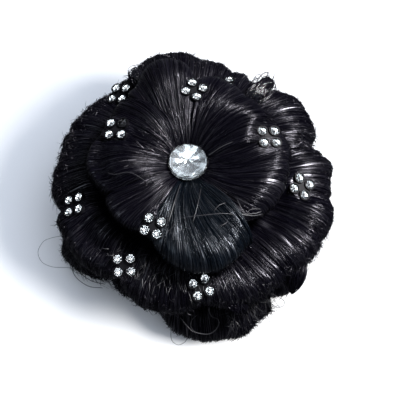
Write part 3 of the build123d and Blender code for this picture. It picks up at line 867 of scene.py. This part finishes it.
STRAYS = (
    (0.20, (7.9, 2.9, 53.6), (13.6, 5.4, 57.0), (19.5, 7.3, 58.0), (26.0, 8.4, 57.2)),
    (0.16, (-2.8, -9.5, 54.6), (-4.8, -17.7, 57.5), (-7.3, -27.2, 57.4)),
    (0.12, (5.0, -12.0, 55.6), (4.0, -19.0, 58.2), (2.0, -27.2, 58.0)),
    (0.11, (-8.5, -31.3, 56.4), (-5.7, -29.1, 57.9), (-3.0, -26.0, 58.7), (4.3, -24.9, 59.1),
     (13.9, -23.7, 58.4), (19.6, -23.7, 56.0)),
    (0.14, (10.0, -22.7, 58.5), (12.0, -20.4, 58.8), (15.0, -18.9, 57.8)),
    (0.16, (15.4, -18.3, 56.6), (17.1, -20.5, 57.0), (20.6, -22.8, 56.0), (25.5, -22.3, 55.2),
     (28.3, -21.0, 54.4)),
    (0.14, (14.5, -20.5, 57.4), (19.0, -22.0, 57.0), (21.5, -23.4, 55.8), (24.0, -21.0, 56.0),
     (28.0, -20.4, 55.0)),
    (0.16, (17.5, -22.2, 56.6), (21.0, -23.2, 56.2), (25.0, -23.2, 55.0), (28.6, -21.8, 53.6)),
    (0.12, (18.8, -17.2, 57.0), (20.0, -20.0, 57.0), (22.4, -23.6, 55.6)),
    (0.16, (12.0, -28.8, 58.3), (13.6, -28.3, 58.5), (15.1, -26.9, 58.0)),
    (0.11, (-31.0, -5.6, 55.9), (-28.0, -6.8, 57.2), (-22.0, -6.6, 58.4), (-15.0, -10.6, 57.4)),
    (0.26, (-3.2, -52.0, 20.6), (-0.2, -55.2, 18.6), (2.4, -57.0, 17.6), (7.5, -57.9, 17.4),
     (10.5, -56.8, 18.6), (12.0, -54.8, 20.4), (11.6, -53.1, 21.6), (9.3, -52.4, 22.6),
     (8.2, -50.6, 23.8), (8.2, -49.6, 26.0)),
    (0.16, (3.5, -51.6, 22.4), (1.4, -53.3, 21.0), (1.1, -55.4, 19.2), (2.4, -57.0, 17.6)),
    (0.16, (18.3, -51.0, 22.0), (18.0, -53.2, 20.4), (16.7, -55.0, 19.2), (14.4, -55.3, 19.6)),
    (0.09, (-48.0, -17.5, 26.0), (-50.3, -17.0, 21.0), (-56.0, -16.2, 16.0), (-59.5, -16.7, 13.0),
     (-61.6, -20.3, 11.0), (-59.9, -24.3, 10.0), (-55.3, -26.5, 10.0), (-48.3, -27.3, 11.0),
     (-45.3, -29.9, 12.0), (-41.0, -30.2, 13.0)),
    (0.12, (-6.6, -52.8, 19.0), (-6.8, -58.6, 15.0), (-5.1, -60.4, 13.0), (-2.9, -60.6, 13.0),
     (-0.6, -59.0, 15.0), (-0.8, -54.6, 18.4)),
    (0.12, (31.5, -45.0, 22.0), (34.5, -47.3, 20.0), (37.2, -46.9, 19.0), (38.2, -44.9, 19.0),
     (36.4, -43.6, 20.0), (33.0, -42.5, 22.0)),
    (0.08, (32.5, -42.5, 23.0), (34.8, -45.7, 20.0), (36.4, -47.1, 18.0), (37.7, -48.5, 16.0),
     (38.7, -51.2, 14.0)),
    (0.08, (26.0, -50.5, 20.0), (28.0, -53.0, 18.0), (29.6, -52.7, 16.0), (32.1, -51.9, 15.0),
     (33.3, -48.9, 16.0), (31.5, -45.5, 21.0)),
    (0.16, (-46.6, -27.8, 17.6), (-43.6, -31.2, 15.2), (-39.1, -33.8, 13.2), (-33.6, -35.0, 12.6)),
    (0.14, (-45.6, -26.8, 18.6), (-42.1, -30.8, 16.2), (-37.6, -33.2, 14.4), (-32.6, -34.0, 14.0)),
    (0.15, (-47.6, -28.8, 16.1), (-45.1, -32.6, 13.0), (-40.2, -35.4, 11.2), (-34.6, -36.0, 11.0)),
    (0.13, (-44.6, -26.4, 19.6), (-40.6, -30.0, 17.6), (-36.6, -32.0, 16.0), (-32.1, -32.8, 15.6)),
    (0.14, (-17.0, -25.5, 55.2), (-14.0, -27.8, 54.4), (-10.5, -27.9, 54.6), (-7.6, -26.0, 55.8)),
    (0.13, (-17.4, -26.6, 54.0), (-14.0, -29.2, 53.2), (-10.2, -29.2, 53.4), (-7.0, -27.0, 54.8)),
    (0.12, (-16.6, -27.8, 52.8), (-13.6, -30.2, 52.2), (-10.0, -30.3, 52.4), (-7.4, -28.4, 53.4)),
    (0.10, (-20.6, 43.0, 41.0), (-23.7, 46.8, 39.0), (-25.0, 49.0, 38.0), (-24.2, 50.9, 38.0),
     (-22.3, 50.8, 39.0), (-20.4, 48.0, 40.0), (-20.0, 44.5, 41.0)),
    (0.08, (20.0, 43.6, 38.6), (22.9, 46.4, 38.0), (24.8, 47.4, 38.0), (27.0, 46.4, 38.0),
     (28.0, 42.4, 40.0)),
    (0.08, (31.6, 42.0, 45.0), (32.6, 44.7, 45.0), (33.9, 47.9, 44.0)),
    (0.08, (47.4, 27.6, 33.0), (50.5, 29.9, 33.0), (53.0, 30.9, 32.0), (54.0, 29.5, 32.0),
     (52.8, 27.6, 33.0), (49.6, 26.0, 34.0)),
    (0.08, (49.6, 23.0, 34.0), (53.0, 21.2, 33.0), (55.3, 19.5, 32.0), (54.6, 18.3, 32.0),
     (51.0, 17.4, 33.0)),
)


def curve(points, count):
    # Smooth line through the points
    points = np.array(points, float)
    padded = np.concatenate([[2 * points[0] - points[1]], points, [2 * points[-1] - points[-2]]])
    places = np.linspace(0, len(points) - 1, count)
    span = np.minimum(places.astype(int), len(points) - 2)
    s = (places - span)[:, None]
    a, b, c, d = (padded[span + k] for k in range(4))
    cubic = (2 * a - 5 * b + 4 * c - d) * s ** 2 + (3 * b - 3 * c + d - a) * s ** 3
    return 0.5 * (2 * b + (c - a) * s + cubic)


STRAY_ACROSS = (0.08, 0.05, 1.0)
STRAY_STEPS, STRAY_LENGTH = 8, 40


def single_hair(radius, *points):
    # One loose hair, thinner at both ends
    count = STRAY_STEPS * len(points)
    path = curve(points, count)
    across = np.cross(np.gradient(path, axis=0), STRAY_ACROSS)
    radii = np.full((1, count), radius)
    radii[0, :2] *= (0.4, 0.8)
    radii[0, -2:] *= (0.8, 0.4)
    return tubes(path[None], radii, across[None], np.zeros(1), np.linspace(0, STRAY_LENGTH, count))


# Loose hairs in the material whose lighter colour is painted sheen
mesh_object("hair_strays", [single_hair(*row) for row in STRAYS], [sheen_painted_stray_hair])


# Locks that stand out of the lobes: the core fills a share of each, and loops turn back at the tip
LOCK_COLUMNS = ("line", "half_widths", "half_heights", "core", "hairs", "wander", "loops")
LOCKS = {
    "curl": (
        (
            (22.6, 27.0, 43.4), (25.2, 30.6, 45.2), (28.2, 34.8, 45.8), (31.2, 39.0, 45.0),
            (33.8, 42.6, 43.4),
        ),
        (2.4, 3.2, 3.9, 4.1, 3.2),
        (1.4, 1.8, 2.0, 2.0, 1.6),
        0.80, 24, 1.2, 22,
    ),
    "knob": (
        ((-15.4, -44.4, 25.0), (-16.4, -46.6, 22.6), (-17.3, -48.4, 20.6)),
        (1.2, 1.5, 1.2),
        (1.0, 1.3, 1.0),
        0.70, 20, 1.0, 12,
    ),
    "left_end": (
        ((-44.0, -25.8, 17.0), (-40.7, -28.8, 15.2), (-36.7, -31.0, 14.2), (-32.6, -31.8, 14.6)),
        (1.0, 1.4, 1.4, 0.9),
        (0.9, 1.1, 1.1, 0.8),
        0.90, 60, 1.0, 10,
    ),
    "right_end": (
        ((41.0, -32.6, 31.0), (42.2, -36.0, 29.6), (41.8, -39.8, 27.0), (40.7, -43.6, 24.2)),
        (3.8, 3.4, 2.2, 0.5),
        (2.2, 1.9, 1.2, 0.4),
        1.00, 190, 0.4, 0,
    ),
    "back_end": (
        ((-19.0, 40.5, 41.0), (-20.6, 43.6, 41.0), (-21.8, 46.4, 40.2), (-22.4, 49.0, 39.2)),
        (2.0, 2.4, 2.4, 1.8),
        (1.2, 1.4, 1.3, 0.9),
        0.60, 40, 0.9, 16,
    ),
    "front_fray": (
        ((16.6, -46.4, 34.4), (18.4, -49.4, 32.4), (20.2, -51.6, 29.8), (21.0, -53.0, 27.0)),
        (2.4, 3.2, 2.8, 1.2),
        (1.0, 1.3, 1.2, 0.7),
        0.90, 160, 0.7, 0,
    ),
}
# Points along a lock's line, its core, its hairs and its loops
CURVE_STEPS = 101
LOCK_STEPS, LOCK_AROUND = 21, 24
LOCK_HAIR_STEPS, LOOP_STEPS = 12, 19
# Length in millimetres that a lock's streaks are drawn for
LOCK_LENGTH = 15
HAIR_ACROSS = (0.1, 0.05, 1.0)
LOCK_BUMP = 0.25


def lock_frame(line):
    # Middle, sideways and upward directions anywhere along a lock
    path = curve(line, CURVE_STEPS)
    along = np.gradient(path, axis=0)
    along /= np.linalg.norm(along, axis=1, keepdims=True)
    side = np.cross(along, (0.0, 0.0, 1.0))
    side /= np.linalg.norm(side, axis=1, keepdims=True)
    up = np.cross(side, along)
    marks = np.linspace(0, 1, CURVE_STEPS)

    def frame_at(places):
        return [
            np.stack([np.interp(places, marks, axis) for axis in values.T], -1)
            for values in (path, side, up)
        ]

    return frame_at


def lock_core(rng, surface, core, size):
    # Closed lumpy core of a lock
    steps, around = LOCK_STEPS, LOCK_AROUND
    bumps = value_noise(rng, 12, 3)
    angles = np.linspace(0, 2 * math.pi, around, endpoint=False)
    s, angle = np.meshgrid(np.linspace(0, 1, steps), angles, indexing="ij")
    skin = surface(s * (0.85 + 0.15 * core), angle, LOCK_BUMP * bumps(angle / (2 * math.pi), s), core)
    faces = []
    for i in range(steps - 1):
        for j in range(around):
            k = (j + 1) % around
            faces.append((i * around + j, (i + 1) * around + j, (i + 1) * around + k, i * around + k))
    faces.append(tuple(range(around)))
    faces.append(tuple(range(steps * around - 1, (steps - 1) * around - 1, -1)))
    uvs = np.stack([(angle / (2 * math.pi) * size).ravel(), (s * LOCK_LENGTH).ravel()], -1)
    return skin.reshape(-1, 3), faces, uvs


def lock_hairs(rng, surface, hairs, wander):
    # Hairs laid along a lock over its core
    count = max(8, int(hairs / COARSE))
    start = rng.uniform(0.0, 0.35, count)
    end = rng.uniform(0.6, 1.0, count)
    places = start[:, None] + (end - start)[:, None] * np.linspace(0, 1, LOCK_HAIR_STEPS)[None, :]
    angle = rng.uniform(-0.4, math.pi + 0.4, count)[:, None]
    angle = angle + wander * rng.normal(0, 0.7, count)[:, None] * (places - 0.5)
    angle = angle + 0.35 * wander * np.sin(places * 9 + rng.uniform(0, 6, count)[:, None])
    rise = rng.uniform(0.05, 0.9, count)[:, None] * (0.4 + np.sin(places * math.pi))
    paths = surface(places, angle, rise)
    radii = thinned(rng, 0.09, 0.19, count, 0.15, LOCK_HAIR_STEPS)
    across = np.cross(np.gradient(paths, axis=1), HAIR_ACROSS)
    return tubes(paths, radii, across, rng.uniform(0, 60, count), places * LOCK_LENGTH)


def lock_loops(rng, frame_at, sizes, count):
    # Hairs that run out along the lock, turn over at its tip and come back beside it
    turn = np.linspace(0, math.pi, LOOP_STEPS)[None, :]
    reach = rng.uniform(0.45, 1.05, count)[:, None]
    spread = rng.uniform(0.20, 0.75, count)[:, None]
    slant = rng.normal(0, 0.75, count)[:, None]
    foot = rng.uniform(0.0, 0.55, count)[:, None] * reach
    places = foot + (reach - foot) * np.sin(turn) ** 0.8
    lateral = slant * np.sin(turn) + spread * np.cos(turn) * (0.5 + 0.5 * np.sin(turn))
    lateral = np.clip(lateral, -1.25, 1.25)
    lift = np.sqrt(np.clip(1 - 0.6 * lateral ** 2, 0.05, 1)) + rng.uniform(0.2, 0.9, count)[:, None]
    middle, side, up = frame_at(np.clip(places, 0, 1))
    wide, tall = sizes(places)
    paths = middle + side * (wide * lateral)[..., None] + up * (tall * lift)[..., None]
    radii = rng.uniform(0.12, 0.18, count)[:, None] * np.sin(turn * 0.9 + 0.15) ** 0.3
    across = np.cross(np.gradient(paths, axis=1), HAIR_ACROSS)
    return tubes(paths, radii, across, rng.uniform(0, 60, count), turn * 6)


def lock_piece(name, row, seed):
    # Builds one lock and returns its looping hairs
    spec = dict(zip(LOCK_COLUMNS, row))
    rng = np.random.default_rng(seed)
    s = np.linspace(0, 1, LOCK_STEPS)
    knots = np.linspace(0, 1, len(spec["line"]))
    ends = np.sqrt(np.clip(1 - (2 * np.abs(s - 0.5)) ** 6, 0.02, 1))
    frame_at = lock_frame(spec["line"])

    def sizes(places):
        return [np.interp(places, knots, spec[key]) for key in ("half_widths", "half_heights")]

    def surface(places, angle, off, share=1.0):
        middle, side, up = frame_at(places)
        end = np.interp(places, s, ends)
        wide, tall = (size * end * share + off for size in sizes(places))
        return middle + side * (wide * np.cos(angle))[..., None] + up * (tall * np.sin(angle))[..., None]

    size = sum(spec["half_widths"]) / len(spec["half_widths"]) * 6
    core = lock_core(rng, surface, spec["core"], size)
    hairs = lock_hairs(rng, surface, spec["hairs"], spec["wander"])
    # The core of a lock of open loops gets painted shade: the dark hair material without gloss
    marks = [int(spec["loops"] > 0)] * len(core[1]) + [0] * len(hairs[1])
    mesh_object(f"hair_lock_{name}", [core, hairs], [hair, painted_shade_hair], marks)
    count = int(spec["loops"] / COARSE)
    return lock_loops(rng, frame_at, sizes, count) if count else None


loop_sets = [lock_piece(name, LOCKS[name], SEEDS["locks"] + k) for k, name in enumerate(LOCKS)]
mesh_object("hair_loops", [loop_set for loop_set in loop_sets if loop_set], [looped_hair])


# Foil under the glass: a pleated shallow cone with a dark tip, which is a painted dark reflection

# Radius, heights of its middle and rim and the dark tip's radius, in millimetres
CRYSTAL_FOIL = dict(radius=7.2, low=0.10, high=0.82, tip=0.45)
STONE_FOIL = dict(radius=1.55, low=0.05, high=0.45, tip=0.32)
FOIL_AROUND = 16
VALLEY_SHARE = 0.45
TIP_PLEAT = 0.02


def foil_cone(centre, normal, first, second, radius, low, high, tip):
    # Closed disc: pleated top, flat underside
    around = FOIL_AROUND
    angles = [2 * math.pi * (k + 0.5) / around for k in range(around)]
    spokes = [first * math.cos(angle) + second * math.sin(angle) for angle in angles]
    points = []
    for ring, levels in ((tip, (low, low + TIP_PLEAT)), (radius, (high * VALLEY_SHARE, high))):
        points += [centre + spoke * ring + normal * levels[k % 2] for k, spoke in enumerate(spokes)]
    points.append(centre + normal * low)
    faces = []
    for k in range(around):
        following = (k + 1) % around
        faces.append((2 * around, k, following))
        faces.append((k, around + k, around + following))
        faces.append((k, around + following, following))
    under = len(points)
    points += [centre + spoke * radius + normal * low * 0.5 for spoke in spokes]
    for k in range(around):
        following = (k + 1) % around
        faces.append((around + k, under + k, under + following))
        faces.append((around + k, under + following, around + following))
    faces.append(tuple(range(under + around - 1, under - 1, -1)))
    return np.array(points), faces, None


def foil_piece(name, discs):
    # The faces that start at the middle of each disc's top are its dark tip, a painted dark reflection
    marks = [int(face[0] == 2 * FOIL_AROUND) for face in discs[0][1]]
    mesh_object(name, discs, [foil, painted_dark_reflection], marks * len(discs), smooth=False)


X, Y, Z = np.eye(3)
# One stone of the left inner sprig has lost its foil and looks dark
bare_stone = max(sprigs[BARE_SPRIG]["stones"], key=lambda centre: centre[0] + centre[1])
crystal_base = np.array([0.0, 0.0, crystal_low[2] / MM])
foil_piece("crystal_foil", [foil_cone(crystal_base, Z, X, Y, **CRYSTAL_FOIL)])
foil_piece(
    "stone_foils",
    [
        foil_cone(centre, sprig["normal"], sprig["first"], sprig["second"], **STONE_FOIL)
        for sprig in sprigs
        for centre in sprig["stones"]
        if centre is not bare_stone
    ],
)


# Hard pieces keep their solids and get their materials

def give(node, material):
    data = frame["nodes"][node].data
    data.materials.clear()
    data.materials.append(material)


for node in frame["nodes"]:
    if node.startswith("sprig_stones"):
        give(node, glass)
    elif node == "crystal":
        give(node, soft_glass)
    elif node == "net_cap":
        give(node, net)
    elif node in ("comb", "crystal_mount") or node.startswith("sprig_plate"):
        give(node, black_plastic)

# Floor, kept out of mirror reflections so that dark rims don't mirror it

FLOOR_HALF = 3
floor_mesh = bpy.data.meshes.new("floor")
floor_corners = [(x * FLOOR_HALF, y * FLOOR_HALF, 0) for x, y in ((-1, -1), (1, -1), (1, 1), (-1, 1))]
floor_mesh.from_pydata(floor_corners, [], [(0, 1, 2, 3)])
floor = put("floor", floor_mesh)
floor_material, _, floor_shader = new_material("pale_floor")
feed(floor_shader, Base_Color=(0.93, 0.93, 0.93, 1), Roughness=0.9)
floor_mesh.materials.append(floor_material)
floor.visible_glossy = False

# Camera

tilt = math.radians(ELEVATION)
RIGHT = np.array([1.0, 0.0, 0.0])
UP = np.array([0.0, math.sin(tilt), math.cos(tilt)])
FORWARD = np.array([0.0, math.cos(tilt), -math.sin(tilt)])
crystal_centre = np.array([AXIS[0], AXIS[1], crystal_high[2] - CRYSTAL_DEPTH * MM])
middle = np.array([0.0, 0.0, crystal_high[2] / 2])
target = middle.copy()
for _ in range(AIM_ROUNDS):
    eye = target - FORWARD * DISTANCE
    depth = (crystal_centre - eye) @ FORWARD
    off_x = IMAGE_PX / 2 + FOCAL_PX * ((crystal_centre - eye) @ RIGHT) / depth - CRYSTAL_PX[0]
    off_y = IMAGE_PX / 2 - FOCAL_PX * ((crystal_centre - eye) @ UP) / depth - CRYSTAL_PX[1]
    target = target + RIGHT * (off_x / FOCAL_PX * depth) - UP * (off_y / FOCAL_PX * depth)
    target = target - FORWARD * ((target - middle) @ FORWARD)
eye = target - FORWARD * DISTANCE
camera_data = bpy.data.cameras.new("camera")
camera = put("camera", camera_data)
camera.location = eye.tolist()
camera.rotation_euler = (math.radians(90 - ELEVATION), 0, 0)
camera_data.angle = 2 * math.atan(IMAGE_PX / 2 / FOCAL_PX)
camera_data.clip_start = 0.01
camera_data.clip_end = 20
bpy.context.scene.camera = camera

# Light, which aims at a point this many metres up

AIM_HEIGHT = 0.03
# Name, azimuth and elevation in degrees, distance and size in metres, power, colour, what it falls on
LIGHTS = (
    ("key", -16, 42, 1.2, 0.55, 24, (1.0, 0.985, 0.96), "floor"),
    ("hair_key", 20, 57, 1.2, 0.36, 60, (1.0, 0.985, 1.0), "object"),
    ("stone_light", 250, 70, 0.9, 0.9, 20, (0.95, 0.98, 1.0), "stones"),
    ("crystal_light", 250, 70, 0.9, 1.6, 12, (0.90, 0.95, 1.0), "crystal"),
    ("left_fill", 200, 48, 1.3, 0.60, 1.5, (0.80, 0.92, 1.0), None),
    ("floor_light", 20, 75, 1.6, 2.4, 30, (0.78, 0.86, 1.0), "floor"),
)


def area_light(name, azimuth, elevation, distance, size, power, colour):
    data = bpy.data.lights.new(name, "AREA")
    data.shape = "DISK"
    data.size = size
    data.energy = power
    data.color = colour
    lamp = put(name, data)
    a, e = math.radians(azimuth), math.radians(elevation)
    lamp.location = (
        distance * math.cos(e) * math.cos(a),
        distance * math.cos(e) * math.sin(a),
        distance * math.sin(e) + AIM_HEIGHT,
    )
    lamp.rotation_euler = (0.0, math.pi / 2 - e, a)
    return lamp


# Each light falls on its own pieces alone, and only the left fill falls on everything
lit = {part: bpy.data.collections.new(f"lit_{part}") for part in ("object", "stones", "crystal", "floor")}
lit["floor"].objects.link(floor)
for piece in bpy.context.scene.objects:
    if piece.type == "MESH" and piece is not floor:
        lit["object"].objects.link(piece)
        if piece.name.startswith(("sprig_stones", "stone_foils")):
            lit["stones"].objects.link(piece)
        if piece.name.startswith("crystal"):
            lit["crystal"].objects.link(piece)
for *light_row, part in LIGHTS:
    lamp = area_light(*light_row)
    if part:
        lamp.light_linking.receiver_collection = lit[part]
world = bpy.data.worlds.new("studio")
bpy.context.scene.world = world
world.use_nodes = True
feed(world.node_tree.nodes["Background"], Color=(0.82, 0.86, 1.0, 1), Strength=0.14)
bpy.context.scene.view_settings.view_transform = "Standard"
